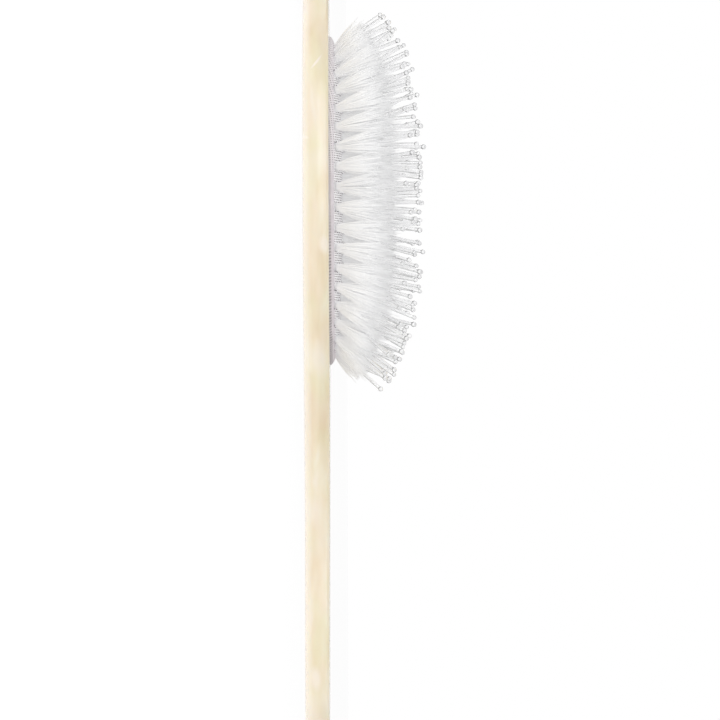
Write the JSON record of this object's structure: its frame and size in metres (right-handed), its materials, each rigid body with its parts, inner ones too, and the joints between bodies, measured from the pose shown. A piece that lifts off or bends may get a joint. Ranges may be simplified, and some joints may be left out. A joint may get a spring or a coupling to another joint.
{
  "type": "detangling brush",
  "caption": "Flat-plate hair brush with an air-cushioned oval pad of nylon tufts and ball-ended pins, and a plain flared handle.",
  "frame": {"origin": "on the flat back of the plate, midway along it and across it", "axes": "+X along the brush towards the tip of the head, +Z out of the plate towards the bristles"},
  "size_m": [0.226, 0.0672, 0.0363],
  "materials": {
    "acetate": "polished, marbled",
    "rubber": "matte",
    "woven_facing": "fine weave",
    "nylon": "translucent",
    "anchor_steel": "drawn wire"
  },
  "bodies": {
    "plate": {"handle_plate": "acetate"},
    "cushion": {"cushion_pad": "rubber", "cushion_facing": "woven_facing"},
    "row_1": {"tuft_row_1": "nylon", "anchor_pins_1": "anchor_steel"},
    "row_2": {"tuft_row_2": "nylon", "anchor_pins_2": "anchor_steel"},
    "row_3": {"tuft_row_3": "nylon", "anchor_pins_3": "anchor_steel"},
    "row_4": {"tuft_row_4": "nylon", "anchor_pins_4": "anchor_steel"},
    "row_5": {"tuft_row_5": "nylon", "anchor_pins_5": "anchor_steel"},
    "row_6": {"tuft_row_6": "nylon", "anchor_pins_6": "anchor_steel"},
    "row_7": {"tuft_row_7": "nylon", "anchor_pins_7": "anchor_steel"},
    "row_8": {"tuft_row_8": "nylon", "anchor_pins_8": "anchor_steel"},
    "row_9": {"tuft_row_9": "nylon", "anchor_pins_9": "anchor_steel"},
    "row_10": {"tuft_row_10": "nylon", "anchor_pins_10": "anchor_steel"},
    "row_11": {"tuft_row_11": "nylon", "anchor_pins_11": "anchor_steel"},
    "row_12": {"tuft_row_12": "nylon", "anchor_pins_12": "anchor_steel"},
    "row_13": {"tuft_row_13": "nylon", "anchor_pins_13": "anchor_steel"},
    "row_14": {"tuft_row_14": "nylon", "anchor_pins_14": "anchor_steel"},
    "row_15": {"tuft_row_15": "nylon", "anchor_pins_15": "anchor_steel"},
    "row_16": {"tuft_row_16": "nylon", "anchor_pins_16": "anchor_steel"},
    "row_17": {"tuft_row_17": "nylon", "anchor_pins_17": "anchor_steel"}
  },
  "joints": [
    {"name": "cushion_press", "type": "slide", "parent": "plate", "child": "cushion", "axis": [0, 0, -1], "range_m": [0, 0.003], "stiffness_N_per_m": 1500, "deforming": ["cushion_pad", "cushion_facing"]},
    {"name": "row_lean_1", "type": "hinge", "parent": "cushion", "child": "row_1", "pos_m": [0.09189, 0, 0.00888], "axis": [0, 1, 0], "range_deg": [-10, 10], "stiffness_Nm_per_rad": 0.01},
    {"name": "row_lean_2", "type": "hinge", "parent": "cushion", "child": "row_2", "pos_m": [0.08856, 0, 0.00941], "axis": [0, 1, 0], "range_deg": [-10, 10], "stiffness_Nm_per_rad": 0.01},
    {"name": "row_lean_3", "type": "hinge", "parent": "cushion", "child": "row_3", "pos_m": [0.08335, 0, 0.00985], "axis": [0, 1, 0], "range_deg": [-10, 10], "stiffness_Nm_per_rad": 0.01},
    {"name": "row_lean_4", "type": "hinge", "parent": "cushion", "child": "row_4", "pos_m": [0.0782, 0, 0.01016], "axis": [0, 1, 0], "range_deg": [-10, 10], "stiffness_Nm_per_rad": 0.01},
    {"name": "row_lean_5", "type": "hinge", "parent": "cushion", "child": "row_5", "pos_m": [0.07279, 0, 0.01038], "axis": [0, 1, 0], "range_deg": [-10, 10], "stiffness_Nm_per_rad": 0.01},
    {"name": "row_lean_6", "type": "hinge", "parent": "cushion", "child": "row_6", "pos_m": [0.06716, 0, 0.01053], "axis": [0, 1, 0], "range_deg": [-10, 10], "stiffness_Nm_per_rad": 0.01},
    {"name": "row_lean_7", "type": "hinge", "parent": "cushion", "child": "row_7", "pos_m": [0.06136, 0, 0.01062], "axis": [0, 1, 0], "range_deg": [-10, 10], "stiffness_Nm_per_rad": 0.01},
    {"name": "row_lean_8", "type": "hinge", "parent": "cushion", "child": "row_8", "pos_m": [0.05544, 0, 0.01066], "axis": [0, 1, 0], "range_deg": [-10, 10], "stiffness_Nm_per_rad": 0.01},
    {"name": "row_lean_9", "type": "hinge", "parent": "cushion", "child": "row_9", "pos_m": [0.04947, 0, 0.01067], "axis": [0, 1, 0], "range_deg": [-10, 10], "stiffness_Nm_per_rad": 0.01},
    {"name": "row_lean_10", "type": "hinge", "parent": "cushion", "child": "row_10", "pos_m": [0.04347, 0, 0.01067], "axis": [0, 1, 0], "range_deg": [-10, 10], "stiffness_Nm_per_rad": 0.01},
    {"name": "row_lean_11", "type": "hinge", "parent": "cushion", "child": "row_11", "pos_m": [0.03752, 0, 0.01064], "axis": [0, 1, 0], "range_deg": [-10, 10], "stiffness_Nm_per_rad": 0.01},
    {"name": "row_lean_12", "type": "hinge", "parent": "cushion", "child": "row_12", "pos_m": [0.03165, 0, 0.01058], "axis": [0, 1, 0], "range_deg": [-10, 10], "stiffness_Nm_per_rad": 0.01},
    {"name": "row_lean_13", "type": "hinge", "parent": "cushion", "child": "row_13", "pos_m": [0.02592, 0, 0.01046], "axis": [0, 1, 0], "range_deg": [-10, 10], "stiffness_Nm_per_rad": 0.01},
    {"name": "row_lean_14", "type": "hinge", "parent": "cushion", "child": "row_14", "pos_m": [0.02038, 0, 0.01028], "axis": [0, 1, 0], "range_deg": [-10, 10], "stiffness_Nm_per_rad": 0.01},
    {"name": "row_lean_15", "type": "hinge", "parent": "cushion", "child": "row_15", "pos_m": [0.01507, 0, 0.01002], "axis": [0, 1, 0], "range_deg": [-10, 10], "stiffness_Nm_per_rad": 0.01},
    {"name": "row_lean_16", "type": "hinge", "parent": "cushion", "child": "row_16", "pos_m": [0.01044, 0, 0.0097], "axis": [0, 1, 0], "range_deg": [-10, 10], "stiffness_Nm_per_rad": 0.01},
    {"name": "row_lean_17", "type": "hinge", "parent": "cushion", "child": "row_17", "pos_m": [0.00504, 0, 0.00905], "axis": [0, 1, 0], "range_deg": [-10, 10], "stiffness_Nm_per_rad": 0.01}
  ],
  "couplings": [
    {"joint": "row_lean_1", "follows": "row_lean_9", "ratio": 1},
    {"joint": "row_lean_2", "follows": "row_lean_9", "ratio": 1},
    {"joint": "row_lean_3", "follows": "row_lean_9", "ratio": 1},
    {"joint": "row_lean_4", "follows": "row_lean_9", "ratio": 1},
    {"joint": "row_lean_5", "follows": "row_lean_9", "ratio": 1},
    {"joint": "row_lean_6", "follows": "row_lean_9", "ratio": 1},
    {"joint": "row_lean_7", "follows": "row_lean_9", "ratio": 1},
    {"joint": "row_lean_8", "follows": "row_lean_9", "ratio": 1},
    {"joint": "row_lean_10", "follows": "row_lean_9", "ratio": 1},
    {"joint": "row_lean_11", "follows": "row_lean_9", "ratio": 1},
    {"joint": "row_lean_12", "follows": "row_lean_9", "ratio": 1},
    {"joint": "row_lean_13", "follows": "row_lean_9", "ratio": 1},
    {"joint": "row_lean_14", "follows": "row_lean_9", "ratio": 1},
    {"joint": "row_lean_15", "follows": "row_lean_9", "ratio": 1},
    {"joint": "row_lean_16", "follows": "row_lean_9", "ratio": 1},
    {"joint": "row_lean_17", "follows": "row_lean_9", "ratio": 1}
  ]
}
